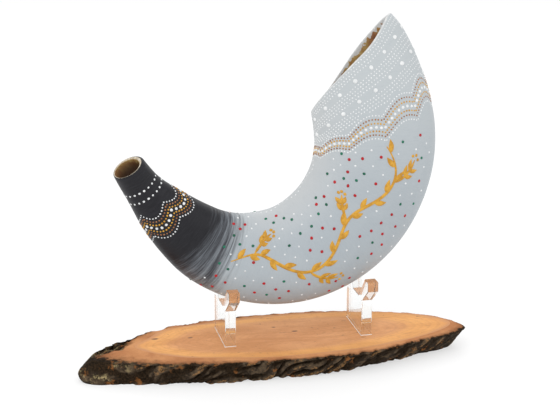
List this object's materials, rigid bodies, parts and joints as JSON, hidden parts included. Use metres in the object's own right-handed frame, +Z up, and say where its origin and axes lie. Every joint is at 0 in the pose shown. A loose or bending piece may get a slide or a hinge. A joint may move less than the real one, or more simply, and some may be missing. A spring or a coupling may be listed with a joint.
{
  "type": "shofar on a display stand",
  "caption": "Painted ram's-horn shofar, a curved hollow horn with a cupped mouth and an obliquely cut bell, lying in clear notched cradles on a bark-edged slice of wood.",
  "frame": {"origin": "on the underside of the slab, under the middle of the whole object", "axes": "+X along the slab towards the bell side, +Y away from the lips of the cradles, +Z up"},
  "size_m": [0.2587, 0.0868, 0.2246],
  "materials": {
    "painted_horn": "blue-grey acrylic paint brushed over horn, charcoal at the mouth end, satin",
    "slab_wood": "sawn end grain, sanded and lightly oiled",
    "bark": "rough furrowed bark, dark brown to black, with a pinkish cut edge",
    "clear_acrylic": "clear, polished edges",
    "clear_glue": "clear, set",
    "white_paint": "raised glossy paint dots",
    "gold_paint": "raised golden-ochre paint lines and dots",
    "copper_paint": "small brown paint dots",
    "red_paint": "raised glossy paint dots",
    "green_paint": "raised glossy paint dots"
  },
  "bodies": {
    "stand": {"slab_wood": "slab_wood", "slab_bark": "bark", "left_cradle": "clear_acrylic", "right_cradle": "clear_acrylic", "left_glue_film": "clear_glue", "right_glue_film": "clear_glue"},
    "horn": {"horn": "painted_horn"}
  },
  "joints": [
    {"name": "horn_lift", "type": "slide", "parent": "stand", "child": "horn", "axis": [0, 0, 1], "range_m": [0, 0.08]}
  ]
}
